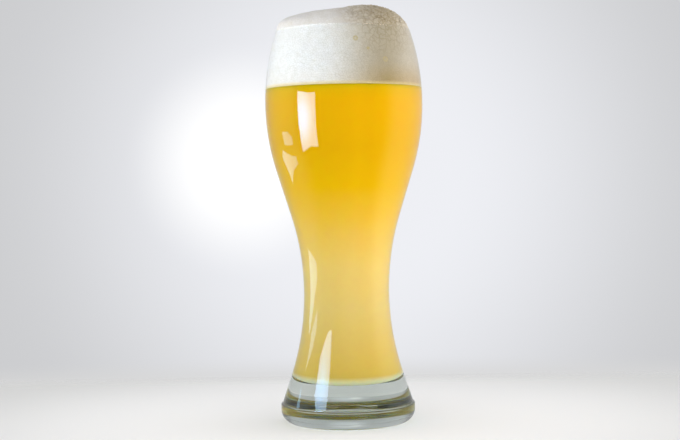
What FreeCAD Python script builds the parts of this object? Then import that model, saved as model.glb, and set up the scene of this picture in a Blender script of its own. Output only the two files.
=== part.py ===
"""A pint of wheat beer in its tall waisted glass: the glass, the beer and the head of foam.

The three pieces share one upright axis, and the origin is on the table under it.
The drinker faces the glass along +Y. All sizes are in millimetres.
"""

import FreeCAD, Part
import Sketcher
import math
import os

FULL_TURN = 360
ORIGIN = -1          # geometry number of a sketch's origin and X axis
UPRIGHT = -2         # geometry number of a sketch's Y axis
START, END, CENTRE = 1, 2, 3

# Driving dimensions: name, value, meaning.
SIZES = [
    ("belly_radius", 41.9, "outside radius of the bowl where it is widest"),
    ("waist_radius", 22.8, "outside radius of the waist"),
    ("heel_radius", 35.8, "outside radius of the base"),
    ("waist_height", 69.8, "height of the waist above the table"),
    ("belly_rise", 100.4, "height of the widest part above the waist"),
    ("rim_rise", 38.8, "height of the rim above the widest part"),
    ("side_straight", 25.0, "straight run of the side between waist and belly"),
    ("foot_straight", 16.0, "straight run of the side above the base"),
    ("belly_share", 0.467, "share of the side's two curves that the belly takes"),
    ("wall", 2.4, "thickness of the glass wall"),
    ("heel_round", 7.3, "radius of the roll under the base"),
    ("heel_land", 2.7, "upright height of the base's edge"),
    ("heel_shoulder", 0.9, "radius of the step on top of the base"),
    ("foot_ring", 4.0, "width of the flat ring that it stands on"),
    ("punt_height", 2.6, "depth of the hollow under the base"),
    ("floor_height", 20.8, "height of the floor inside"),
    ("floor_round", 9.0, "radius of the corner round the floor"),
    ("foam_depth", 31.2, "depth of the foam below the rim"),
    ("crown_height", 13.7, "height of the foam above the rim"),
    ("crown_offset", 10.7, "how far to the right the foam is highest"),
    ("crown_back", 2.5, "how far to the back the foam is highest"),
    ("crown_left", 2.5, "squareness of the foam's long left shoulder"),
    ("crown_right", 2.15, "squareness of the foam's short right shoulder"),
]

# Dimensions that follow from the driving ones: name, formula.
WORKED = [
    ("side_curves", "((sizes.belly_radius - sizes.waist_radius) ^ 2 + sizes.belly_rise ^ 2"
                    " - sizes.side_straight ^ 2) / (2 * (sizes.belly_radius - sizes.waist_radius))"),
    ("belly_curve", "sizes.belly_share * side_curves"),
    ("waist_curve", "side_curves - belly_curve"),
    ("step_radius", "sizes.heel_radius - sizes.heel_shoulder"),
    ("step_height", "sizes.heel_round + sizes.heel_land + sizes.heel_shoulder"),
    ("foot_curve", "((step_radius - sizes.waist_radius) ^ 2 + (sizes.waist_height - step_height) ^ 2"
                   " - sizes.foot_straight ^ 2) / (2 * (step_radius - sizes.waist_radius))"),
    ("belly_height", "sizes.waist_height + sizes.belly_rise"),
    ("rim_height", "belly_height + sizes.rim_rise"),
    ("beer_level", "rim_height - sizes.foam_depth"),
    ("rim_round", "sizes.wall / 2"),
    ("mouth_radius", "sizes.belly_radius - belly_curve + sqrt((belly_curve - rim_round) ^ 2"
                     " - (sizes.rim_rise - rim_round) ^ 2)"),
    ("foot_radius", "sizes.heel_radius - sizes.heel_round"),
    ("punt_radius", "foot_radius - sizes.foot_ring"),
    ("punt_curve", "(punt_radius ^ 2 + sizes.punt_height ^ 2) / (2 * sizes.punt_height)"),
]

CROWN_LEVELS = 7     # rings that the foam's crown is drawn through
CROWN_TOP = 0.985    # where the last ring lies, as a share of the crown's height


def fill_sheet(sheet, rows, prefix=""):
    """Write named values or formulas into a sheet, one row each."""
    for row, (name, value, *meaning) in enumerate(rows, start=1):
        sheet.set(f"A{row}", name)
        sheet.set(f"B{row}", prefix + str(value))
        sheet.setAlias(f"B{row}", name)
        if meaning:
            sheet.set(f"C{row}", meaning[0])


def vector(x, y):
    return FreeCAD.Vector(x, y, 0)


class Section:
    """A closed outline on the upright plane: x is the radius and y the height."""

    def __init__(self, body, name):
        self.sketch = body.newObject("Sketcher::SketchObject", name)
        plane = [f for f in body.Origin.OriginFeatures if f.Role == "XZ_Plane"][0]
        self.sketch.AttachmentSupport = [(plane, "")]
        self.sketch.MapMode = "FlatFace"

    def line(self, start, end):
        return self.sketch.addGeometry(Part.LineSegment(vector(*start), vector(*end)), False)

    def arc(self, centre, start, end):
        """An arc that turns anticlockwise about its centre, from start to end."""
        middle = vector(*centre)
        from_x = vector(*start) - middle
        to_x = vector(*end) - middle
        first = math.atan2(from_x.y, from_x.x)
        last = math.atan2(to_x.y, to_x.x)
        if last < first:
            last += 2 * math.pi
        circle = Part.Circle(middle, FreeCAD.Vector(0, 0, 1), from_x.Length)
        return self.sketch.addGeometry(Part.ArcOfCircle(circle, first, last), False)

    def join(self, kind, first, second):
        """Join two ends, each an edge and which end of it: Coincident or Tangent."""
        self.sketch.addConstraint(Sketcher.Constraint(kind, *first, *second))

    def bind(self, kind, places, value, formula):
        """Give a dimension its value and bind it to the sheets."""
        number = self.sketch.addConstraint(Sketcher.Constraint(kind, *places, value))
        self.sketch.setExpression(f"Constraints[{number}]", formula)

    def place_x(self, edge, end, value, formula):
        self.bind("DistanceX", (ORIGIN, START, edge, end), value, formula)

    def place_y(self, edge, end, value, formula):
        self.bind("DistanceY", (ORIGIN, START, edge, end), value, formula)

    def level(self, edge):
        self.sketch.addConstraint(Sketcher.Constraint("Horizontal", edge))

    def upright(self, edge):
        self.sketch.addConstraint(Sketcher.Constraint("Vertical", edge))

    def on_axis(self, edge, end):
        self.sketch.addConstraint(Sketcher.Constraint("PointOnObject", edge, end, UPRIGHT))

    def revolve(self, body, name):
        turned = body.newObject("PartDesign::Revolution", name)
        turned.Profile = self.sketch
        turned.ReferenceAxis = (self.sketch, ["V_Axis"])
        turned.Angle = FULL_TURN
        self.sketch.Visibility = False
        return turned


class Outline:
    """The corners and centres of the glass's section, worked out from the sheets."""

    def __init__(self, size):
        self.size = size
        wall = size["wall"]
        self.belly = (size["belly_radius"] - size["belly_curve"], size["belly_height"])
        self.waist = (size["waist_radius"] + size["waist_curve"], size["waist_height"])
        self.foot = (size["waist_radius"] + size["foot_curve"], size["waist_height"])
        self.floor_centre = self.find_floor_centre(size["foot_curve"] + wall)

        # The straight run of the side leans outwards, touching both curves.
        curves = size["belly_curve"] + size["waist_curve"]
        run = (self.waist[0] - self.belly[0], self.belly[1] - self.waist[1])
        self.lean = math.atan2(run[1], run[0]) - math.atan2(size["side_straight"], curves)
        self.step = (size["step_radius"], size["step_height"])
        run = (self.foot[0] - self.step[0], self.foot[1] - self.step[1])
        self.flare = math.atan2(run[1], run[0]) - math.atan2(size["foot_straight"], size["foot_curve"])

        middle = size["belly_curve"] - size["rim_round"]
        self.rim_turn = math.asin((size["rim_rise"] - size["rim_round"]) / middle)
        self.rim = self.on(self.belly, middle, self.rim_turn)

    def on(self, centre, radius, turn):
        """The point of a circle at a turn anticlockwise from its right-hand side."""
        return (centre[0] + radius * math.cos(turn), centre[1] + radius * math.sin(turn))

    def belly_end(self, depth):
        """Where the belly's curve meets the straight run, at a depth inside the glass."""
        return self.on(self.belly, self.size["belly_curve"] - depth, -self.lean)

    def waist_end(self, depth):
        return self.on(self.waist, self.size["waist_curve"] + depth, math.pi - self.lean)

    def rim_end(self, depth):
        return self.on(self.belly, self.size["belly_curve"] - depth, self.rim_turn)

    def foot_end(self):
        return self.on(self.foot, self.size["foot_curve"], math.pi + self.flare)

    def find_floor_centre(self, curve):
        """Centre of the floor's corner, which touches both the floor and the inner wall."""
        height = self.size["floor_height"] + self.size["floor_round"]
        reach = curve + self.size["floor_round"]
        return (self.foot[0] - math.sqrt(reach ** 2 - (self.foot[1] - height) ** 2), height)

    def floor_touch(self):
        """Where the floor's corner runs into the inner wall."""
        corner = self.size["floor_round"]
        share = corner / (self.size["foot_curve"] + self.size["wall"] + corner)
        return tuple(f + (c - f) * share for f, c in zip(self.floor_centre, self.foot))

    def wall_at(self, height):
        """Inside radius of the belly at a height."""
        curve = self.size["belly_curve"] - self.size["wall"]
        return self.belly[0] + math.sqrt(curve ** 2 - (height - self.belly[1]) ** 2)


def draw_wall(section, outline, depth, top):
    """The wall's own curves at a depth inside the glass, from the waist up to the point top.

    Returns the belly's arc and the arc above the waist.
    """
    size = outline.size
    inset = f" - {depth}" if depth else ""
    waist = (size["waist_radius"] - size["wall"] if depth else size["waist_radius"], size["waist_height"])
    thick = size["wall"] if depth else 0

    belly = section.arc(outline.belly, outline.belly_end(thick), top)
    side = section.line(outline.belly_end(thick), outline.waist_end(thick))
    above = section.arc(outline.waist, outline.waist_end(thick), waist)
    section.bind("Radius", (belly,), size["belly_curve"] - thick, "worked.belly_curve" + inset)
    section.bind("DistanceX", (belly, CENTRE, ORIGIN, START), -outline.belly[0],
                 "worked.belly_curve - sizes.belly_radius")
    section.place_y(belly, CENTRE, outline.belly[1], "worked.belly_height")
    section.bind("Radius", (above,), size["waist_curve"] + thick,
                 "worked.waist_curve" + inset.replace("-", "+"))
    section.place_x(above, CENTRE, outline.waist[0], "sizes.waist_radius + worked.waist_curve")
    section.place_y(above, CENTRE, outline.waist[1], "sizes.waist_height")
    section.join("Tangent", (belly, START), (side, START))
    section.join("Tangent", (side, END), (above, START))
    return belly, above


def draw_inside(section, outline, top):
    """The hollow's outline from the point top down to the axis. Returns its first and last edges."""
    size = outline.size
    touch = outline.floor_touch()
    waist = (size["waist_radius"] - size["wall"], size["waist_height"])
    belly, above = draw_wall(section, outline, "sizes.wall", top)
    below = section.arc(outline.foot, waist, touch)
    section.bind("Radius", (below,), size["foot_curve"] + size["wall"], "worked.foot_curve + sizes.wall")
    section.place_y(below, CENTRE, size["waist_height"], "sizes.waist_height")
    section.join("Tangent", (above, END), (below, START))

    corner_end = (outline.floor_centre[0], size["floor_height"])
    corner = section.arc(outline.floor_centre, corner_end, touch)
    floor = section.line(corner_end, (0, size["floor_height"]))
    section.bind("Radius", (corner,), size["floor_round"], "sizes.floor_round")
    section.join("Tangent", (below, END), (corner, END))
    section.join("Tangent", (corner, START), (floor, START))
    section.level(floor)
    section.on_axis(floor, END)
    section.place_y(floor, END, size["floor_height"], "sizes.floor_height")
    return belly, floor


def new_body(doc, label):
    body = doc.addObject("PartDesign::Body", label.capitalize() + "Body")
    body.Label = label
    body.Placement = FreeCAD.Placement()
    return body


def make_glass(doc, outline):
    """Clear soda-lime glass: a thin waisted wall on a thick base, hollowed a little underneath."""
    size = outline.size
    body = new_body(doc, "glass")
    section = Section(body, "GlassSection")

    # Underneath: the hollow, the ring that it stands on, and the roll of the heel.
    foot_radius = size["foot_radius"]
    roll_top = size["heel_round"] + size["heel_land"]
    punt_centre = (0, size["punt_height"] - size["punt_curve"])
    punt = section.arc(punt_centre, (size["punt_radius"], 0), (0, size["punt_height"]))
    ring = section.line((size["punt_radius"], 0), (foot_radius, 0))
    roll_end = (size["heel_radius"], size["heel_round"])
    roll = section.arc((foot_radius, size["heel_round"]), (foot_radius, 0), roll_end)
    land = section.line(roll_end, (size["heel_radius"], roll_top))
    shoulder = section.arc((size["step_radius"], roll_top), (size["heel_radius"], roll_top), outline.step)
    section.bind("Radius", (punt,), size["punt_curve"], "worked.punt_curve")
    section.on_axis(punt, CENTRE)
    section.on_axis(punt, END)
    section.place_y(punt, END, size["punt_height"], "sizes.punt_height")
    section.join("Coincident", (punt, START), (ring, START))
    section.level(ring)
    section.place_x(ring, START, size["punt_radius"], "worked.punt_radius")
    section.join("Tangent", (ring, END), (roll, START))
    section.bind("Radius", (roll,), size["heel_round"], "sizes.heel_round")
    section.join("Tangent", (roll, END), (land, START))
    section.upright(land)
    section.place_x(land, START, size["heel_radius"], "sizes.heel_radius")
    section.bind("DistanceY", (land, START, land, END), size["heel_land"], "sizes.heel_land")
    section.join("Tangent", (land, END), (shoulder, START))
    section.bind("Radius", (shoulder,), size["heel_shoulder"], "sizes.heel_shoulder")
    section.place_x(shoulder, END, size["step_radius"], "worked.step_radius")

    # Outside: the straight foot, the waist's two curves, the straight side and the belly.
    foot = section.line(outline.step, outline.foot_end())
    below = section.arc(outline.foot, (size["waist_radius"], size["waist_height"]), outline.foot_end())
    belly, above = draw_wall(section, outline, "", outline.rim_end(0))
    section.join("Coincident", (shoulder, END), (foot, START))
    section.join("Tangent", (foot, END), (below, END))
    section.join("Tangent", (below, START), (above, END))
    section.bind("Radius", (below,), size["foot_curve"], "worked.foot_curve")
    section.place_y(below, CENTRE, size["waist_height"], "sizes.waist_height")

    # The rim is fully rounded, and the inside follows the outside down to the floor.
    inside, floor = draw_inside(section, outline, outline.rim_end(size["wall"]))
    rim = section.arc(outline.rim, outline.rim_end(0), outline.rim_end(size["wall"]))
    section.join("Tangent", (belly, END), (rim, START))
    section.join("Tangent", (rim, END), (inside, END))
    section.place_y(rim, CENTRE, outline.rim[1], "worked.rim_height - worked.rim_round")
    axis = section.line((0, size["floor_height"]), (0, size["punt_height"]))
    section.join("Coincident", (floor, END), (axis, START))
    section.join("Coincident", (axis, END), (punt, END))
    return body, section.revolve(body, "GlassTurned")


def make_beer(doc, outline):
    """The beer fills the hollow from its floor up to the underside of the foam."""
    size = outline.size
    body = new_body(doc, "beer")
    section = Section(body, "BeerSection")
    edge = (outline.wall_at(size["beer_level"]), size["beer_level"])
    inside, floor = draw_inside(section, outline, edge)
    surface = section.line(edge, (0, size["beer_level"]))
    section.join("Coincident", (inside, END), (surface, START))
    section.level(surface)
    section.on_axis(surface, END)
    section.place_y(surface, END, size["beer_level"], "worked.beer_level")
    axis = section.line((0, size["beer_level"]), (0, size["floor_height"]))
    section.join("Coincident", (surface, END), (axis, START))
    section.join("Coincident", (axis, END), (floor, END))
    return body, section.revolve(body, "BeerTurned")


def make_foam(doc, outline):
    """The foam fills the mouth, sits on the rounded rim and swells into an uneven crown."""
    size = outline.size
    body = new_body(doc, "foam")
    section = Section(body, "FoamSection")
    edge = (outline.wall_at(size["beer_level"]), size["beer_level"])
    crest = (outline.rim[0], size["rim_height"])
    curve = size["belly_curve"] - size["wall"]
    inside = section.arc(outline.belly, edge, outline.rim_end(size["wall"]))
    seat = section.arc(outline.rim, crest, outline.rim_end(size["wall"]))
    cover = section.line(crest, (0, size["rim_height"]))
    axis = section.line((0, size["rim_height"]), (0, size["beer_level"]))
    under = section.line((0, size["beer_level"]), edge)
    section.bind("Radius", (inside,), curve, "worked.belly_curve - sizes.wall")
    section.bind("DistanceX", (inside, CENTRE, ORIGIN, START), -outline.belly[0],
                 "worked.belly_curve - sizes.belly_radius")
    section.place_y(inside, CENTRE, outline.belly[1], "worked.belly_height")
    section.join("Tangent", (inside, END), (seat, END))
    section.bind("Radius", (seat,), size["rim_round"], "worked.rim_round")
    section.place_y(seat, CENTRE, outline.rim[1], "worked.rim_height - worked.rim_round")
    section.join("Tangent", (seat, START), (cover, START))
    section.level(cover)
    section.on_axis(cover, END)
    section.join("Coincident", (cover, END), (axis, START))
    section.on_axis(axis, END)
    section.join("Coincident", (axis, END), (under, START))
    section.join("Coincident", (under, END), (inside, START))
    section.level(under)
    section.place_y(under, START, size["beer_level"], "worked.beer_level")
    section.revolve(body, "FoamPlug")
    return body, add_crown(body, size)


def add_crown(body, size):
    """The crown is drawn through level rings, each as wide as its two shoulders leave it there."""
    plane = [f for f in body.Origin.OriginFeatures if f.Role == "XY_Plane"][0]
    rings = []
    for number in range(CROWN_LEVELS):
        share = CROWN_TOP * math.sin(math.pi / 2 * number / (CROWN_LEVELS - 1))
        left = (1 - share ** size["crown_left"]) ** (1 / size["crown_left"])
        right = (1 - share ** size["crown_right"]) ** (1 / size["crown_right"])
        reach_left = f"(worked.mouth_radius + sizes.crown_offset) * (1 - {share} ^ sizes.crown_left)" \
                     " ^ (1 / sizes.crown_left)"
        reach_right = f"(worked.mouth_radius - sizes.crown_offset) * (1 - {share} ^ sizes.crown_right)" \
                      " ^ (1 / sizes.crown_right)"
        to_left = (size["mouth_radius"] + size["crown_offset"]) * left
        to_right = (size["mouth_radius"] - size["crown_offset"]) * right
        middle = size["crown_offset"] + (to_right - to_left) / 2

        ring = body.newObject("Sketcher::SketchObject", f"CrownRing{number}")
        ring.AttachmentSupport = [(plane, "")]
        ring.MapMode = "FlatFace"
        ring.setExpression(".AttachmentOffset.Base.z",
                           f"worked.rim_height + sizes.crown_height * {share}")
        ring.addGeometry(Part.Circle(vector(middle, size["crown_back"] * share),
                                     FreeCAD.Vector(0, 0, 1), (to_left + to_right) / 2), False)
        dimensions = [
            ("Radius", (0,), (to_left + to_right) / 2, f"({reach_left} + {reach_right}) / 2"),
            ("DistanceX", (ORIGIN, START, 0, CENTRE), middle,
             f"sizes.crown_offset + ({reach_right} - {reach_left}) / 2"),
            ("DistanceY", (ORIGIN, START, 0, CENTRE), size["crown_back"] * share,
             f"sizes.crown_back * {share}"),
        ]
        for kind, places, value, formula in dimensions:
            index = ring.addConstraint(Sketcher.Constraint(kind, *places, value))
            ring.setExpression(f"Constraints[{index}]", formula)
        rings.append(ring)
    crown = body.newObject("PartDesign::AdditiveLoft", "FoamCrown")
    crown.Profile = rings[0]
    crown.Sections = rings[1:]
    crown.Ruled = False
    return crown


def check(doc, bodies):
    """Stop if any object failed, or if a piece isn't one valid solid."""
    for item in doc.Objects:
        if {"Invalid", "Error"} & set(item.State):
            raise RuntimeError(f"{item.Name} failed: {item.State}")
    for body in bodies:
        shape = body.Shape
        if shape.isNull() or not shape.isValid() or len(shape.Solids) != 1:
            raise RuntimeError(f"{body.Label} isn't one valid solid")


doc = FreeCAD.newDocument("PintOfBeer")
sizes = doc.addObject("Spreadsheet::Sheet", "sizes")
fill_sheet(sizes, SIZES)
worked = doc.addObject("Spreadsheet::Sheet", "worked")
fill_sheet(worked, WORKED, prefix="=")
doc.recompute()

size = {name: float(sizes.get(name)) for name, *rest in SIZES}
size.update({name: float(worked.get(name)) for name, *rest in WORKED})
outline = Outline(size)

bodies = []
for make in (make_glass, make_beer, make_foam):
    body, last = make(doc, outline)
    doc.recompute()
    body.Tip = last
    bodies.append(body)
doc.recompute()
check(doc, bodies)

os.makedirs("parts", exist_ok=True)
for body in bodies:
    body.Shape.exportStep(f"parts/{body.Label}.step")
    box = body.Shape.optimalBoundingBox()
    print(f"{body.Label}: {body.Shape.Volume / 1000:.1f} ml, z {box.ZMin:.2f} to {box.ZMax:.2f},"
          f" x {box.XMin:.2f} to {box.XMax:.2f}")
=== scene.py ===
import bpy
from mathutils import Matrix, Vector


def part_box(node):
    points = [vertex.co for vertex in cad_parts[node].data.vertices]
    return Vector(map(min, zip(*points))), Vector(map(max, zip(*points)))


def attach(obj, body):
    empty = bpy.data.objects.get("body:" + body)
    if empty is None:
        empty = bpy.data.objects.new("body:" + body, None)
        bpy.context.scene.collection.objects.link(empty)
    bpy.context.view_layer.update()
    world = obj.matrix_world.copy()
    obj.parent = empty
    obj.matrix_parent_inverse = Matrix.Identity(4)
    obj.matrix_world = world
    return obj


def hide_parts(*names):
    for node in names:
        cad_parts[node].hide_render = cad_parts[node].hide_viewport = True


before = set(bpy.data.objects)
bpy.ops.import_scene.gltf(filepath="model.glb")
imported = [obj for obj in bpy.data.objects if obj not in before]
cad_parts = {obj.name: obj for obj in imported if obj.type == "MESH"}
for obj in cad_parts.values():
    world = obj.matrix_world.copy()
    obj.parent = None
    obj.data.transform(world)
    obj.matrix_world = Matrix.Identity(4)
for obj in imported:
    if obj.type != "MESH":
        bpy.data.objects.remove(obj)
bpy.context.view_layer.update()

import math

import bmesh
import bpy
import numpy as np
from mathutils import Euler, Matrix, Vector, noise

scene = bpy.context.scene
scene.view_settings.view_transform = "Standard"

# ---------------------------------------------------------------------------
# The viewer's eye: a long lens at the height of the glass's middle, a little
# over three quarters of a metre away, looking slightly down, and not quite level.
# ---------------------------------------------------------------------------
eye = Vector((0.0, -0.775, 0.124))
down_tilt = math.radians(1.185)
side_turn = math.radians(0.217)
roll = math.radians(0.85)

lens = bpy.data.cameras.new("lens")
lens.sensor_width = 36
lens.lens = 76.8
lens.clip_start = 0.01
camera = bpy.data.objects.new("camera", lens)
scene.collection.objects.link(camera)
look = Euler((math.pi / 2 - down_tilt, 0, side_turn)).to_matrix().to_4x4()
camera.matrix_world = Matrix.Translation(eye) @ look @ Matrix.Rotation(-roll, 4, "Z")
scene.camera = camera

# ---------------------------------------------------------------------------
# The studio: a white table top that fades out at its edges into a pale seamless
# backdrop. The backdrop is palest behind the glass, with a glowing spot on the left.
# ---------------------------------------------------------------------------
table_back = 0.20
table_front = -1.0
table_side = 0.95
table_fade = 0.05
table_top = -0.0001
side_fade = 0.65
floor_white = (0.69, 0.69, 0.685)
glow_towards = (-0.069, 0.997, 0.021)
glow_white = (1.08, 1.08, 1.08)
pool_towards = (0.005, 1.0, 0.01)
pool_edge, pool_middle = 0.27, 0.06
pool_white = (0.86, 0.87, 0.91)
paper_grey = (0.61, 0.615, 0.63)
unlit_side = (0.14, 0.145, 0.13)
right_wall = (0.62, 0.62, 0.64)
left_wall = (0.45, 0.46, 0.48)
dark_front = (0.04, 0.04, 0.04)
# The table top's two tones are a painted pool of light: lighter round the glass, greyer further out.
pool_painted_white = (0.87, 0.87, 0.87)
outside_pool_painted_grey = (0.64, 0.64, 0.63)

sky = bpy.data.worlds.new("studio")
sky.use_nodes = True
scene.world = sky


def add(tree, kind, **settings):
    """A new node; sockets named in settings get their values, other names are the node's own."""
    node = tree.nodes.new(kind)
    for name, value in settings.items():
        if name in node.inputs:
            node.inputs[name].default_value = value
        else:
            setattr(node, name, value)
    return node


def blend_between(tree, amount, low, high):
    """A colour that goes from low to high as amount goes from 0 to 1; low or high may be a socket."""
    mix = add(tree, "ShaderNodeMix", data_type="RGBA")
    tree.links.new(amount, mix.inputs[0])
    for socket, colour in ((mix.inputs[6], low), (mix.inputs[7], high)):
        if isinstance(colour, bpy.types.NodeSocket):
            tree.links.new(colour, socket)
        else:
            socket.default_value = (*colour, 1)
    return mix.outputs[2]


def ramp_between(tree, value, low, high):
    """0 below low, 1 above high, and a smooth rise between them."""
    ramp = add(tree, "ShaderNodeMapRange", interpolation_type="SMOOTHSTEP")
    ramp.inputs["From Min"].default_value = low
    ramp.inputs["From Max"].default_value = high
    tree.links.new(value, ramp.inputs["Value"])
    return ramp.outputs["Result"]


def distance_to(tree, spot, centre):
    """How far a spot is from a fixed place."""
    gap = add(tree, "ShaderNodeVectorMath", operation="DISTANCE")
    gap.inputs[1].default_value = centre
    tree.links.new(spot, gap.inputs[0])
    return gap.outputs["Value"]


def product_of(tree, first, second):
    """Two values multiplied."""
    product = add(tree, "ShaderNodeMath", operation="MULTIPLY")
    tree.links.new(first, product.inputs[0])
    tree.links.new(second, product.inputs[1])
    return product.outputs[0]


tree = sky.node_tree
backdrop = tree.nodes["Background"]
direction = add(tree, "ShaderNodeTexCoord").outputs["Generated"]
axes = add(tree, "ShaderNodeSeparateXYZ")
tree.links.new(direction, axes.inputs[0])
pool = ramp_between(tree, distance_to(tree, direction, pool_towards), pool_edge, pool_middle)
glow = ramp_between(tree, distance_to(tree, direction, glow_towards), 0.085, 0.015)
lit_paper = blend_between(tree, pool, paper_grey, pool_white)
paper = blend_between(tree, glow, lit_paper, glow_white)
below = ramp_between(tree, axes.outputs["Z"], -0.112, -0.134)
seen = blend_between(tree, below, paper, floor_white)
aside = ramp_between(tree, axes.outputs["Y"], 0.75, 0.45)
through = blend_between(tree, aside, seen, unlit_side)

leftward = ramp_between(tree, axes.outputs["X"], 0.9, -0.9)
sides = blend_between(tree, leftward, right_wall, left_wall)
facing = ramp_between(tree, axes.outputs["Y"], -0.05, -0.55)
room = blend_between(tree, facing, sides, dark_front)
ahead = ramp_between(tree, axes.outputs["Y"], 0.80, 0.93)
lighting = blend_between(tree, ahead, room, paper)

path = add(tree, "ShaderNodeLightPath")
past_glass = blend_between(tree, path.outputs["Is Transmission Ray"], lighting, through)
around = blend_between(tree, path.outputs["Is Camera Ray"], past_glass, seen)
tree.links.new(around, backdrop.inputs["Color"])
backdrop.inputs["Strength"].default_value = 1.0


def plain_mesh(name, corners, faces):
    """A flat-faced object from its corners and faces."""
    mesh = bpy.data.meshes.new(name)
    mesh.from_pydata(corners, [], faces)
    mesh.update()
    thing = bpy.data.objects.new(name, mesh)
    scene.collection.objects.link(thing)
    return thing


table = plain_mesh("table",
                   [(-table_side, table_front, table_top), (table_side, table_front, table_top),
                    (table_side, table_back, table_top), (-table_side, table_back, table_top)],
                   [(0, 1, 2, 3)])
white_top = bpy.data.materials.new("white_table_top")
white_top.use_nodes = True
tree = white_top.node_tree
shader = tree.nodes["Principled BSDF"]
shader.inputs["Roughness"].default_value = 0.6
shader.inputs["Specular IOR Level"].default_value = 0.0
spot = add(tree, "ShaderNodeTexCoord").outputs["Object"]
place = add(tree, "ShaderNodeSeparateXYZ")
tree.links.new(spot, place.inputs[0])
reach = add(tree, "ShaderNodeVectorMath", operation="LENGTH")
tree.links.new(spot, reach.inputs[0])
# A painted pool of light: the table's colour goes from grey far out to white round the glass.
pool = ramp_between(tree, reach.outputs["Value"], pool_edge, pool_middle)
tree.links.new(blend_between(tree, pool, outside_pool_painted_grey, pool_painted_white), shader.inputs["Base Color"])
solid = ramp_between(tree, place.outputs["Y"], table_back, table_back - table_fade)
for axis, start, end in (("Y", table_front, table_front + side_fade),
                         ("X", -table_side, side_fade - table_side),
                         ("X", table_side, table_side - side_fade)):
    solid = product_of(tree, solid, ramp_between(tree, place.outputs[axis], start, end))
tree.links.new(solid, shader.inputs["Alpha"])
table.data.materials.append(white_top)
table.visible_glossy = False

# ---------------------------------------------------------------------------
# The glass: clear soda-lime glass, blown thin in the bowl and pressed thick in
# the base, fire-polished at the rim, and hollowed a little under the foot.
# ---------------------------------------------------------------------------
glass_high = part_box("glass")[1]
beer_low, beer_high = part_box("beer")

rim_height = glass_high[2]
belly_radius = glass_high[0]
wall = belly_radius - beer_high[0]
floor_height = beer_low[2]
beer_level = beer_high[2]
waist_radius = 0.0228
waist_height = 0.0698
belly_height = 0.1702
side_straight = 0.025
foot_straight = 0.016
belly_share = 0.467
heel_radius = 0.0358
heel_round = 0.0073
heel_land = 0.0027
heel_shoulder = 0.0009
foot_ring = 0.004
punt_height = 0.0026
floor_round = 0.009
glass_turns = 192
sharp_turn = math.radians(50)

side_width = belly_radius - waist_radius
side_curves = (side_width ** 2 + (belly_height - waist_height) ** 2 - side_straight ** 2) / (2 * side_width)
belly_curve = belly_share * side_curves
waist_curve = side_curves - belly_curve
step_radius = heel_radius - heel_shoulder
step_height = heel_round + heel_land + heel_shoulder
foot_width = step_radius - waist_radius
foot_rise = waist_height - step_height
foot_curve = (foot_width ** 2 + foot_rise ** 2 - foot_straight ** 2) / (2 * foot_width)
belly_centre = (belly_radius - belly_curve, belly_height)
waist_centre = (waist_radius + waist_curve, waist_height)
foot_centre = (waist_radius + foot_curve, waist_height)
side_lean = (math.atan2(belly_height - waist_height, waist_centre[0] - belly_centre[0])
             - math.atan2(side_straight, side_curves))
foot_lean = (math.atan2(foot_rise, foot_centre[0] - step_radius)
             - math.atan2(foot_straight, foot_curve))
rim_turn = math.asin((rim_height - wall / 2 - belly_height) / (belly_curve - wall / 2))


def arc(centre, radius, start, end, steps):
    """Points of an arc, as radius and height, from one turn to another."""
    return [(centre[0] + radius * math.cos(turn), centre[1] + radius * math.sin(turn))
            for turn in np.linspace(start, end, steps)]


def straight(start, end, steps):
    """Points between two places, without either end."""
    return [tuple(np.array(start) + (np.array(end) - start) * share)
            for share in np.linspace(0, 1, steps + 2)[1:-1]]


def side_of_glass(depth, top_turn):
    """The wall's outline at a depth inside the glass, from the waist up to a turn of the belly's curve."""
    lower = arc(waist_centre, waist_curve + depth, math.pi, math.pi - side_lean, 30)
    upper = arc(belly_centre, belly_curve - depth, -side_lean, top_turn, 56)
    return lower + straight(lower[-1], upper[0], 6) + upper


def inside_of_glass(depth, floor_drop, top_turn):
    """The hollow's outline from the middle of its floor up to a turn of the belly's curve."""
    height = floor_height - floor_drop + floor_round
    reach = foot_curve + depth + floor_round
    centre = (foot_centre[0] - math.sqrt(reach ** 2 - (waist_height - height) ** 2), height)
    touch = math.asin((waist_height - height) / reach)
    floor = straight((0, height - floor_round), (centre[0], height - floor_round), 10)
    corner = arc(centre, floor_round, -math.pi / 2, touch, 14)
    lower = arc(foot_centre, foot_curve + depth, math.pi + touch, math.pi, 22)
    return ([(0, height - floor_round)] + floor + corner + lower[1:]
            + side_of_glass(depth, top_turn)[1:])


def level_ring(form, radius, height, count):
    """The corners of a level ring round the axis; a ring of no radius is one corner."""
    if radius < 1e-7:
        return [form.verts.new((0, 0, height))]
    return [form.verts.new((radius * math.cos(2 * math.pi * n / count),
                            radius * math.sin(2 * math.pi * n / count), height))
            for n in range(count)]


def join_rings(name, form, rings, count):
    """A smooth closed object from rings of corners, from its first ring to its last."""
    for low, high in zip(rings, rings[1:]):
        for n in range(count):
            corners = [low[n % len(low)], low[(n + 1) % len(low)],
                       high[(n + 1) % len(high)], high[n % len(high)]]
            form.faces.new(list(dict.fromkeys(corners)))
    bmesh.ops.recalc_face_normals(form, faces=form.faces)
    mesh = bpy.data.meshes.new(name)
    form.to_mesh(mesh)
    form.free()
    mesh.shade_smooth()
    mesh.set_sharp_from_angle(angle=sharp_turn)
    thing = bpy.data.objects.new(name, mesh)
    scene.collection.objects.link(thing)
    return thing


def turn_outline(name, outline):
    """A closed solid of revolution from an outline that starts and ends on the axis."""
    form = bmesh.new()
    rings = [level_ring(form, radius, height, glass_turns) for radius, height in outline]
    return join_rings(name, form, rings, glass_turns)


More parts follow.
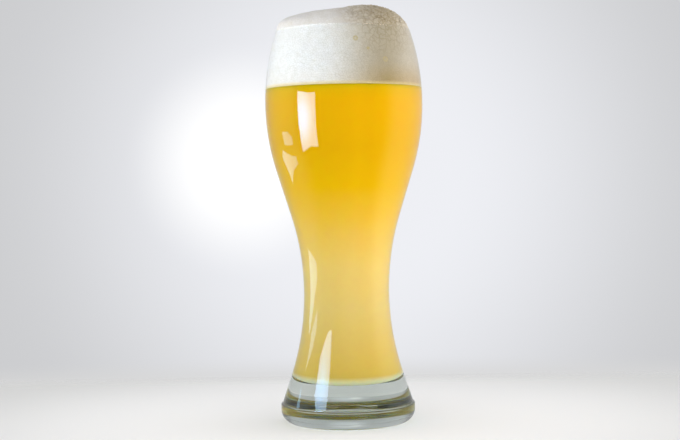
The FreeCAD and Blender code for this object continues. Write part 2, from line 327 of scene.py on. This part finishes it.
foot_radius = heel_radius - heel_round
punt_radius = foot_radius - foot_ring
punt_curve = (punt_radius ** 2 + punt_height ** 2) / (2 * punt_height)
punt_turn = math.asin(punt_radius / punt_curve)
under = arc((0, punt_height - punt_curve), punt_curve, math.pi / 2, math.pi / 2 - punt_turn, 24)
under[0] = (0, punt_height)
ring = straight((punt_radius, 0), (foot_radius, 0), 6)
roll_under = arc((foot_radius, heel_round), heel_round, -math.pi / 2, 0, 24)
shoulder = arc((step_radius, heel_round + heel_land), heel_shoulder, 0, math.pi / 2, 8)
below_waist = arc(foot_centre, foot_curve, math.pi + foot_lean, math.pi, 30)
outside = side_of_glass(0, rim_turn)
middle = belly_curve - wall / 2
rim_middle = arc(belly_centre, middle, rim_turn, rim_turn, 1)[0]
rim = arc(rim_middle, wall / 2, rim_turn, rim_turn + math.pi, 16)
inside = inside_of_glass(wall, 0, rim_turn)
glass_outline = (under + ring + roll_under + straight(roll_under[-1], shoulder[0], 3) + shoulder
                 + straight(shoulder[-1], below_waist[0], 14) + below_waist + outside[1:]
                 + rim[1:-1] + inside[::-1])
glass = turn_outline("glass_wall", glass_outline)

clear_glass = bpy.data.materials.new("clear_glass")
clear_glass.use_nodes = True
tree = clear_glass.node_tree
shader = tree.nodes["Principled BSDF"]
shader.inputs["Base Color"].default_value = (0.985, 0.995, 0.99, 1)
shader.inputs["Roughness"].default_value = 0.0
shader.inputs["IOR"].default_value = 1.5
shader.inputs["Transmission Weight"].default_value = 1.0
tint = add(tree, "ShaderNodeVolumeAbsorption", Color=(0.68, 0.73, 0.70, 1), Density=22.0)
tree.links.new(tint.outputs["Volume"], tree.nodes["Material Output"].inputs["Volume"])
glass.data.materials.append(clear_glass)
glass.visible_shadow = False
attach(glass, "root")
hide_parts("glass")

# ---------------------------------------------------------------------------
# The beer: unfiltered wheat beer, cloudy with yeast, so that light glows in it.
# It wets the glass from the floor up to the foam, so its skin lies in the wall.
# ---------------------------------------------------------------------------
wetting = 0.0002
# Colours by height, partly the beer's own and partly painted light: pale at the very edge of the floor, then
# golden, then deeper where the glass holds more beer, painting the glow of light through thinner and thicker
# beer; the top is painted lighter against the shade the foam casts on it.
beer_colour_and_glow = [(0.014, (0.99, 0.90, 0.52)), (0.035, (0.77, 0.56, 0.11)), (0.26, (0.84, 0.66, 0.23)),
                (0.40, (0.90, 0.68, 0.21)), (0.57, (0.91, 0.61, 0.06)), (0.67, (0.88, 0.57, 0.002)),
                (0.80, (0.85, 0.525, 0.002)), (0.97, (0.90, 0.54, 0.002)), (1.0, (0.99, 0.57, 0.005))]
level_turn = math.asin((beer_level - belly_height) / (belly_curve - wall + wetting))
beer_side = inside_of_glass(wall - wetting, wetting, level_turn)
surface = straight(beer_side[-1], (0, beer_level), 24)
beer = turn_outline("hazy_beer", beer_side + surface + [(0, beer_level)])

hazy_beer = bpy.data.materials.new("hazy_wheat_beer")
hazy_beer.use_nodes = True
tree = hazy_beer.node_tree
shader = tree.nodes["Principled BSDF"]
place = add(tree, "ShaderNodeSeparateXYZ")
tree.links.new(add(tree, "ShaderNodeTexCoord").outputs["Object"], place.inputs[0])
height = add(tree, "ShaderNodeMapRange")
height.inputs["From Min"].default_value = floor_height
height.inputs["From Max"].default_value = beer_level
tree.links.new(place.outputs["Z"], height.inputs["Value"])
depth = add(tree, "ShaderNodeValToRGB")
tree.links.new(height.outputs["Result"], depth.inputs[0])
stops = depth.color_ramp.elements
for count, (level, colour) in enumerate(beer_colour_and_glow):
    stop = stops[count] if count < 2 else stops.new(level)
    stop.position = level
    stop.color = (*colour, 1)
tree.links.new(depth.outputs["Color"], shader.inputs["Base Color"])
shader.inputs["Roughness"].default_value = 0.4
shader.inputs["Subsurface Weight"].default_value = 1.0
shader.inputs["Subsurface Radius"].default_value = (1.0, 0.8, 0.25)
shader.inputs["Subsurface Scale"].default_value = 0.006
shader.inputs["Specular IOR Level"].default_value = 0.0
beer.data.materials.append(hazy_beer)
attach(beer, "root")
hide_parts("beer")

# ---------------------------------------------------------------------------
# The foam: a dense creamy head of tiny bubbles. It clings to the glass, sits on
# the rim and swells above it, with a coarser, wrinkled lump on the right.
# ---------------------------------------------------------------------------
foam_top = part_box("foam")[1][2]
crown_height = foam_top - rim_height
crown_peak = Vector((0.0107, 0.0025))
crown_rings = 140
foam_turns = 480
rim_overlap = 0.0006
foam_sink = 0.0001
# Where the crown's curve bends, each on its long left side and on its short right side.
crown_shoulders = ((0.56, 0.33), (0.013, 0.08), (0.131, 0.288), (0.57, 0.88))
mouth_radius = rim_middle[0]


def crown_point(turn, climb):
    """A place on the foam's crown: turn goes round it, climb from the rim (0) to its highest point (1)."""
    right = (1 + math.cos(turn)) / 2
    shoulder_low, edge_in, shoulder_in, shoulder_high = (
        left_part + (right_part - left_part) * right for left_part, right_part in crown_shoulders)
    rest = 1 - climb
    share = 3 * rest ** 2 * climb * edge_in + 3 * rest * climb ** 2 * shoulder_in + climb ** 3
    height = (3 * rest ** 2 * climb * shoulder_low + 3 * rest * climb ** 2 * shoulder_high + climb ** 3)
    edge = Vector((math.cos(turn), math.sin(turn))) * (mouth_radius + rim_overlap)
    spot = edge.lerp(crown_peak, share)
    return Vector((spot.x, spot.y, rim_height - foam_sink + crown_height * height))


lump_front = Vector((0.0035, -0.035, rim_height))
lump_start = 0.001
lump_edge = 0.008
lump_wander = 0.009
wander_scale = 45
rim_fade = 0.12
billow_scale, billow_rise = 70, 0.0004
ripple_scale, ripple_rise = 190, 0.00015
grain_scale, grain_rise = 900, 0.00005
bend_scale, bend_reach = 170, 0.0026
vein_scale, vein_width = 230, 0.20
crease_scale, crease_width = 560, 0.22
lump_rise = 0.0004
vein_depth = 0.00045
crease_depth = 0.0002
fold_depth = 0.0003
fold_place = 0.0025
fold_width = 0.0012


def across_edge(spot):
    """How far right of the coarse lump's wandering edge a spot lies."""
    drift = noise.noise(spot * wander_scale) - noise.noise(lump_front * wander_scale)
    return spot.x - lump_start + lump_wander * drift


def coarseness(spot):
    """How much a spot belongs to the coarse lump, from 0 to 1."""
    share = min(1, max(0, across_edge(spot) / lump_edge))
    return share * share * (3 - 2 * share)


def swell(spot, climb):
    """How far the foam's skin stands out at a spot of the crown, and how deep in a crease it lies."""
    lump = coarseness(spot)
    fade = min(1, climb / rim_fade)
    billow = (noise.noise(spot * billow_scale) * billow_rise
              + noise.noise(spot * ripple_scale) * ripple_rise)
    bent = spot + noise.noise_vector(spot * bend_scale) * bend_reach
    gaps = noise.voronoi(bent * vein_scale)[0]
    vein = max(0, 1 - (gaps[1] - gaps[0]) / vein_width) ** 1.5
    small = noise.voronoi(bent * crease_scale)[0]
    crease = max(0, 1 - (small[1] - small[0]) / crease_width)
    fold = math.exp(-((across_edge(spot) - fold_place) / fold_width) ** 2)
    depth = min(1, lump * (0.8 * vein + 0.45 * crease) + 0.6 * fold * climb)
    out = lump * (lump_rise - vein_depth * vein - crease_depth * crease) - fold_depth * fold
    return fade * (billow + out + noise.noise(spot * grain_scale) * grain_rise), fade * depth


def crown_skin(turn, climb):
    """A place on the foam's skin, with the foam's swell along the way out, and how creased it is."""
    spot = crown_point(turn, climb)
    along = crown_point(turn + 0.01, climb) - crown_point(turn - 0.01, climb)
    up = crown_point(turn, min(1, climb + 0.01)) - crown_point(turn, climb - 0.01)
    out, depth = swell(spot, climb)
    return spot + along.cross(up).normalized() * out, depth


form = bmesh.new()
seat = arc(rim_middle, wall / 2 - wetting, rim_turn + math.pi, rim_turn + math.pi / 2 + 0.3, 8)
plug = arc(belly_centre, belly_curve - wall + wetting, level_turn, rim_turn, 24)
creased = form.verts.layers.float.new("creased")
coarse = form.verts.layers.float.new("coarse")
underside = [(plug[0][0] * share, beer_level - foam_sink) for share in np.linspace(0.06, 0.98, 12)]
rings = [level_ring(form, radius, height, foam_turns)
         for radius, height in [(0, beer_level - foam_sink)] + underside + plug + seat]
for step in range(1, crown_rings):
    climb = step / crown_rings
    ring = []
    for n in range(foam_turns):
        spot, depth = crown_skin(2 * math.pi * n / foam_turns, climb)
        ring.append(form.verts.new(spot))
        ring[-1][creased] = depth
    rings.append(ring)
rings.append([form.verts.new(crown_point(0, 1))])
for vert in form.verts:
    vert[coarse] = coarseness(vert.co)
foam = join_rings("foam_head", form, rings, foam_turns)

foam_cream = (0.96, 0.937, 0.912)
# The foam's right side is painted shade: darker and browner than the lit cream, lighter again at its outer
# edge as a painted rim light, and more amber low down as a painted glow from the beer below.
foam_side_shade, rim_lit_side_shade = (0.61, 0.53, 0.39), (0.74, 0.68, 0.58)
glow_lit_side_shade, glow_lit_rim_shade = (0.55, 0.43, 0.22), (0.68, 0.55, 0.36)
beer_soaked = (0.93, 0.78, 0.42)
soaked_height = 0.0022
unshaded = (1.0, 1.0, 1.0)
blotch_shade = (0.94, 0.935, 0.92)
film_shade = (0.92, 0.91, 0.88)
# Painted shade, darker where the lump's skin lies deep in a crease, groove or fold.
painted_crease_shade = (0.83, 0.79, 0.72)
vein_shade = (0.84, 0.80, 0.72)
vein_wander = 0.006

creamy_foam = bpy.data.materials.new("creamy_foam")
creamy_foam.use_nodes = True
tree = creamy_foam.node_tree
shader = tree.nodes["Principled BSDF"]
spot = add(tree, "ShaderNodeTexCoord").outputs["Object"]
place = add(tree, "ShaderNodeSeparateXYZ")
tree.links.new(spot, place.inputs[0])
# Painted light on the foam: shade rising to the right, a painted rim light at its outer edge and a painted
# amber glow from the beer low down.
shaded_side = ramp_between(tree, place.outputs["X"], -0.012, 0.026)
beer_glow_below = ramp_between(tree, place.outputs["Z"], 0.192, 0.178)
rim_lit_edge = ramp_between(tree, place.outputs["X"], 0.022, 0.034)
upper_side_shade = blend_between(tree, rim_lit_edge, foam_side_shade, rim_lit_side_shade)
lower_side_shade = blend_between(tree, rim_lit_edge, glow_lit_side_shade, glow_lit_rim_shade)
side_shade_and_glow = blend_between(tree, beer_glow_below, upper_side_shade, lower_side_shade)
cream = blend_between(tree, shaded_side, foam_cream, side_shade_and_glow)
wet = ramp_between(tree, place.outputs["Z"], beer_level + soaked_height, beer_level)
cream = blend_between(tree, wet, cream, beer_soaked)
blotches = add(tree, "ShaderNodeTexNoise", Scale=260.0, Detail=4.0, Roughness=0.65)
tree.links.new(spot, blotches.inputs["Vector"])
blotch = ramp_between(tree, blotches.outputs["Fac"], 0.35, 0.7)
mottled = blend_between(tree, blotch, blotch_shade, unshaded)
bubbles = add(tree, "ShaderNodeTexVoronoi", feature="DISTANCE_TO_EDGE", Scale=820.0)
tree.links.new(spot, bubbles.inputs["Vector"])
films = ramp_between(tree, bubbles.outputs["Distance"], 0.0, 0.12)
netted = blend_between(tree, films, film_shade, unshaded)
# Painted shade in the lump's creases, grooves and fold, by the creased value stored on each corner.
creases = add(tree, "ShaderNodeAttribute", attribute_name="creased").outputs["Fac"]
shaded = blend_between(tree, creases, unshaded, painted_crease_shade)
drift = add(tree, "ShaderNodeTexNoise", Scale=180.0, Detail=2.0)
tree.links.new(spot, drift.inputs["Vector"])
wander = add(tree, "ShaderNodeVectorMath", operation="MULTIPLY_ADD")
tree.links.new(drift.outputs["Color"], wander.inputs[0])
wander.inputs[1].default_value = (vein_wander,) * 3
tree.links.new(spot, wander.inputs[2])
veins = add(tree, "ShaderNodeTexVoronoi", feature="DISTANCE_TO_EDGE", Scale=330.0)
tree.links.new(wander.outputs["Vector"], veins.inputs["Vector"])
vein = ramp_between(tree, veins.outputs["Distance"], 0.16, 0.0)
coarse = add(tree, "ShaderNodeAttribute", attribute_name="coarse").outputs["Fac"]
for axis, start, end in (("Z", 0.186, 0.205), ("X", 0.036, 0.028)):
    coarse = product_of(tree, coarse, ramp_between(tree, place.outputs[axis], start, end))
veined = blend_between(tree, vein, unshaded, vein_shade)
lumpy = blend_between(tree, coarse, unshaded, veined)
trapped_bubbles = [((0.0063, -0.0351, 0.2010), 0.0009), ((0.0212, -0.0316, 0.1904), 0.0010),
                   ((0.0125, -0.0345, 0.1958), 0.0004)]
amber = (0.70, 0.60, 0.36)
skin = cream
for centre, radius in trapped_bubbles:
    off = add(tree, "ShaderNodeMath", operation="SUBTRACT")
    off.inputs[1].default_value = radius
    tree.links.new(distance_to(tree, spot, centre), off.inputs[0])
    ring = add(tree, "ShaderNodeMath", operation="ABSOLUTE")
    tree.links.new(off.outputs[0], ring.inputs[0])
    skin = blend_between(tree, ramp_between(tree, ring.outputs[0], 0.0009, 0.0), skin, amber)
for pattern in (mottled, netted, shaded, lumpy):
    shade = add(tree, "ShaderNodeMix", data_type="RGBA", blend_type="MULTIPLY")
    shade.inputs[0].default_value = 1.0
    tree.links.new(skin, shade.inputs[6])
    tree.links.new(pattern, shade.inputs[7])
    skin = shade.outputs[2]
tree.links.new(skin, shader.inputs["Base Color"])
relief = add(tree, "ShaderNodeBump", Strength=0.5, Distance=0.0003)
tree.links.new(films, relief.inputs["Height"])
tree.links.new(relief.outputs["Normal"], shader.inputs["Normal"])
shader.inputs["Roughness"].default_value = 0.7
shader.inputs["Specular IOR Level"].default_value = 0.0
shader.inputs["Subsurface Weight"].default_value = 0.25
shader.inputs["Subsurface Radius"].default_value = (1.0, 0.9, 0.7)
shader.inputs["Subsurface Scale"].default_value = 0.001
foam.data.materials.append(creamy_foam)
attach(foam, "root")
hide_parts("foam")

# ---------------------------------------------------------------------------
# The loose bubbles: single larger bubbles of the same foam that stand half out
# of the coarse lump's skin. The smooth side has none.
# ---------------------------------------------------------------------------
bubble_smallest = 0.00012
bubble_largest = 0.00036
bubble_density = 260000.0
bubble_seed = 11
lump_least = 0.6
rim_gap = 0.0012
top_gap = 0.0004

scatter = bpy.data.node_groups.new("scatter_bubbles", "GeometryNodeTree")
scatter.is_modifier = True
sockets = {}
for name, kind in (("Skin", "NodeSocketGeometry"), ("Density", "NodeSocketFloat"),
                   ("Smallest", "NodeSocketFloat"), ("Largest", "NodeSocketFloat"),
                   ("Seed", "NodeSocketInt"), ("Material", "NodeSocketMaterial")):
    sockets[name] = scatter.interface.new_socket(name, in_out="INPUT", socket_type=kind).identifier
scatter.interface.new_socket("Bubbles", in_out="OUTPUT", socket_type="NodeSocketGeometry")
given = scatter.nodes.new("NodeGroupInput")
result = scatter.nodes.new("NodeGroupOutput")
points = add(scatter, "GeometryNodeDistributePointsOnFaces")
ball = add(scatter, "GeometryNodeMeshUVSphere", Segments=8, Rings=5, Radius=1.0)
sizes = add(scatter, "FunctionNodeRandomValue", data_type="FLOAT")
placed = add(scatter, "GeometryNodeInstanceOnPoints")
smooth = add(scatter, "GeometryNodeSetShadeSmooth")
made = add(scatter, "GeometryNodeRealizeInstances")
finish = add(scatter, "GeometryNodeSetMaterial")
for start, end in ((given.outputs["Skin"], points.inputs["Mesh"]),
                   (given.outputs["Density"], points.inputs["Density"]),
                   (given.outputs["Seed"], points.inputs["Seed"]),
                   (points.outputs["Points"], placed.inputs["Points"]),
                   (ball.outputs["Mesh"], placed.inputs["Instance"]),
                   (given.outputs["Smallest"], sizes.inputs[2]),
                   (given.outputs["Largest"], sizes.inputs[3]),
                   (given.outputs["Seed"], sizes.inputs["Seed"]),
                   (sizes.outputs[1], placed.inputs["Scale"]),
                   (placed.outputs["Instances"], made.inputs["Geometry"]),
                   (made.outputs["Geometry"], smooth.inputs["Geometry"]),
                   (smooth.outputs["Geometry"], finish.inputs["Geometry"]),
                   (given.outputs["Material"], finish.inputs["Material"]),
                   (finish.outputs["Geometry"], result.inputs["Bubbles"])):
    scatter.links.new(start, end)

form = bmesh.new()
form.from_mesh(foam.data)
bare = []
for face in form.faces:
    middle = face.calc_center_median()
    if not rim_height + rim_gap <= middle.z <= foam_top - top_gap or coarseness(middle) < lump_least:
        bare.append(face)
bmesh.ops.delete(form, geom=bare, context="FACES")
mesh = bpy.data.meshes.new("lump_skin")
form.to_mesh(mesh)
form.free()
patch = bpy.data.objects.new("lump_skin", mesh)
scene.collection.objects.link(patch)
maker = patch.modifiers.new("bubbles", "NODES")
maker.node_group = scatter
for name, value in (("Density", bubble_density), ("Smallest", bubble_smallest),
                    ("Largest", bubble_largest), ("Seed", bubble_seed), ("Material", creamy_foam)):
    maker[sockets[name]] = value
mesh = bpy.data.meshes.new_from_object(patch.evaluated_get(bpy.context.evaluated_depsgraph_get()))
bpy.data.objects.remove(patch)
loose_bubbles = bpy.data.objects.new("foam_bubbles", mesh)
scene.collection.objects.link(loose_bubbles)
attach(loose_bubbles, "root")

# ---------------------------------------------------------------------------
# The lamps: a soft key and a fill for the foam, one over the table, and three that
# shine into the beer. Glowing cards on the left and overhead only show as gloss on
# the glass: a tall window, two low cards beside it and two above the table.
# ---------------------------------------------------------------------------


def add_lamp(name, place, aim, width, height, power, colour, subjects):
    """A soft rectangular light at a place, facing the point aim, that lights only its subjects."""
    panel = bpy.data.lights.new(name, "AREA")
    panel.shape = "RECTANGLE"
    panel.size = width
    panel.size_y = height
    panel.energy = power
    panel.color = colour
    lamp = bpy.data.objects.new(name, panel)
    scene.collection.objects.link(lamp)
    facing = (Vector(aim) - Vector(place)).to_track_quat("-Z", "Y")
    lamp.matrix_world = Matrix.LocRotScale(Vector(place), facing, Vector((1, 1, 1)))
    lamp.visible_camera = False
    lamp.visible_glossy = False
    lamp.visible_transmission = False
    lit = bpy.data.collections.new(name + "_subjects")
    for thing in subjects:
        lit.objects.link(thing)
    lamp.light_linking.receiver_collection = lit
    return lamp


def add_gloss_panel(name, corners, faces, glare, core=None, core_glare=None, core_reach=0.03):
    """A glowing card that is seen only in reflections; it may be brighter round a core."""
    panel = plain_mesh(name, corners, faces)
    glow = bpy.data.materials.new(name)
    glow.use_nodes = True
    tree = glow.node_tree
    tree.nodes.remove(tree.nodes["Principled BSDF"])
    light = add(tree, "ShaderNodeEmission", Color=(*glare, 1))
    if core:
        gap = add(tree, "ShaderNodeVectorMath", operation="DISTANCE")
        gap.inputs[1].default_value = core
        tree.links.new(add(tree, "ShaderNodeTexCoord").outputs["Object"], gap.inputs[0])
        fade = ramp_between(tree, gap.outputs["Value"], 0.0, core_reach)
        tree.links.new(blend_between(tree, fade, core_glare, glare), light.inputs["Color"])
    tree.links.new(light.outputs["Emission"], tree.nodes["Material Output"].inputs["Surface"])
    panel.data.materials.append(glow)
    panel.visible_camera = False
    panel.visible_diffuse = False
    panel.visible_transmission = False
    panel.visible_shadow = False
    panel.visible_volume_scatter = False
    return panel


add_lamp("key_softbox", (-0.62, -0.42, 0.26), (0, 0, 0.18), 0.3, 0.6, 4.3, (1, 1, 1), [foam, loose_bubbles])
add_lamp("foam_fill", (0.65, -0.22, 0.3), (0, 0, 0.18), 0.6, 0.6, 4.0, (1, 0.98, 0.95), [foam, loose_bubbles])
add_lamp("table_lamp", (0.0, -0.2, 1.2), (0, -0.1, 0), 1.2, 1.2, 14, (1, 1, 1), [table])
add_lamp("beer_left", (-0.6, -0.5, 0.1), (0, 0, 0.1), 0.7, 0.5, 3.6, (1, 1, 1), [beer])
add_lamp("beer_right", (0.7, -0.25, 0.1), (0, 0, 0.1), 0.7, 0.5, 5.6, (1, 1, 1), [beer])
add_lamp("beer_front", (0.0, -0.7, 0.1), (0, 0, 0.1), 0.4, 0.4, 1.6, (1, 1, 1), [beer])

window_low, window_high = 0.081, 0.196
add_gloss_panel("window",
                [(-0.174, -0.088, 0.087), (-0.166, -0.151, 0.083), (-0.133, -0.173, window_low),
                 (-0.133, -0.173, window_high), (-0.166, -0.151, window_high),
                 (-0.174, -0.088, window_high)],
                [(0, 1, 4, 5), (1, 2, 3, 4)], (4.6, 6.5, 9.3), (-0.173, -0.119, 0.148), (6.5, 15, 26), 0.07)
add_gloss_panel("side_card",
                [(-0.3653, 0.0738, 0.1149), (-0.3749, 0.0011, 0.1080), (-0.3698, -0.0533, 0.0861),
                 (-0.3656, -0.0479, 0.0634), (-0.3629, 0.0622, 0.0797)],
                [(0, 1, 2, 3, 4)], (2.0, 3.2, 4.4))
add_gloss_panel("lower_side_card",
                [(-0.3482, 0.1094, 0.0759), (-0.3553, -0.0530, 0.0292), (-0.3478, -0.0525, 0.0072),
                 (-0.3354, 0.0976, 0.0120), (-0.3302, 0.1444, 0.0618)],
                [(0, 1, 2, 3, 4)], (2.2, 3.4, 4.6))
overhead = 0.6
add_gloss_panel("overhead_left",
                [(-0.3, -0.06, overhead), (-0.03, -0.06, overhead), (-0.03, 0.18, overhead),
                 (-0.3, 0.18, overhead)],
                [(0, 1, 2, 3)], (4, 4, 4))
add_gloss_panel("overhead_right",
                [(0.10, -0.05, overhead), (0.3, -0.05, overhead), (0.3, 0.18, overhead),
                 (0.10, 0.18, overhead)],
                [(0, 1, 2, 3)], (3.0, 2.4, 1.9))
